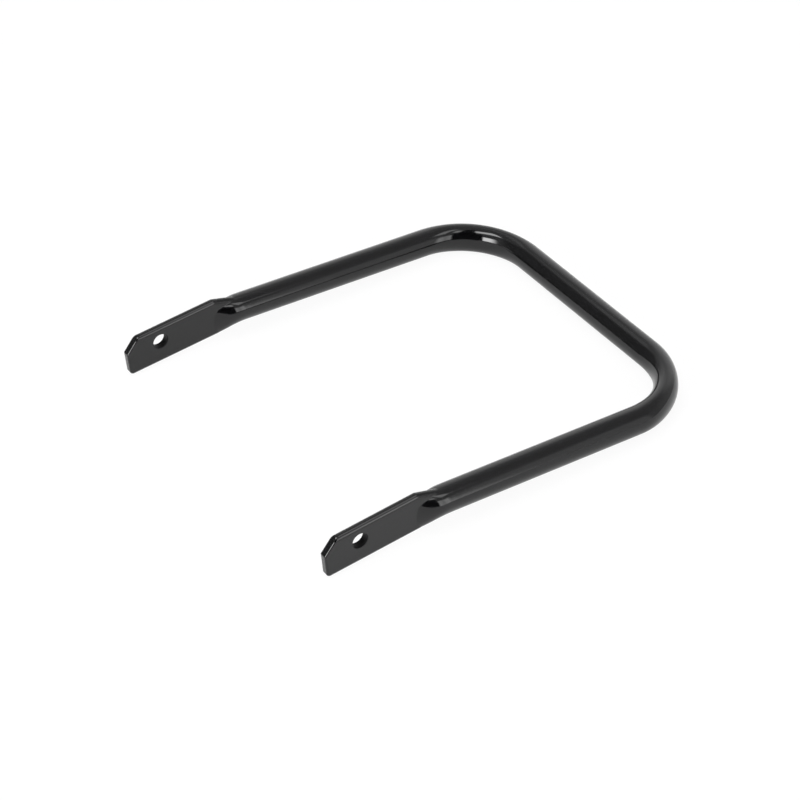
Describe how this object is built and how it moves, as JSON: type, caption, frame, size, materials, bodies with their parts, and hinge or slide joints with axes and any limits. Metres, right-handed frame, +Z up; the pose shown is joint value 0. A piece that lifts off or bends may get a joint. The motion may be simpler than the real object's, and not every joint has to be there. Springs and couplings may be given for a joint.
{
  "type": "motorcycle pannier rack",
  "caption": "U-shaped hoop of bent round tube, gloss black, with both ends pressed into flat drilled tabs; bolts to a motorcycle's side to hold a pannier off the wheel.",
  "frame": {"origin": "centre of the footprint, on the ground the hoop lies on", "axes": "+X from the tabs towards the crossbar, +Y across the hoop along the bolt holes, +Z up from the ground"},
  "size_m": [0.254, 0.218, 0.0286],
  "materials": {
    "gloss_black_paint": "gloss black paint on steel tube"
  },
  "bodies": {
    "root": {"rack_hoop": "gloss_black_paint"}
  },
  "joints": []
}
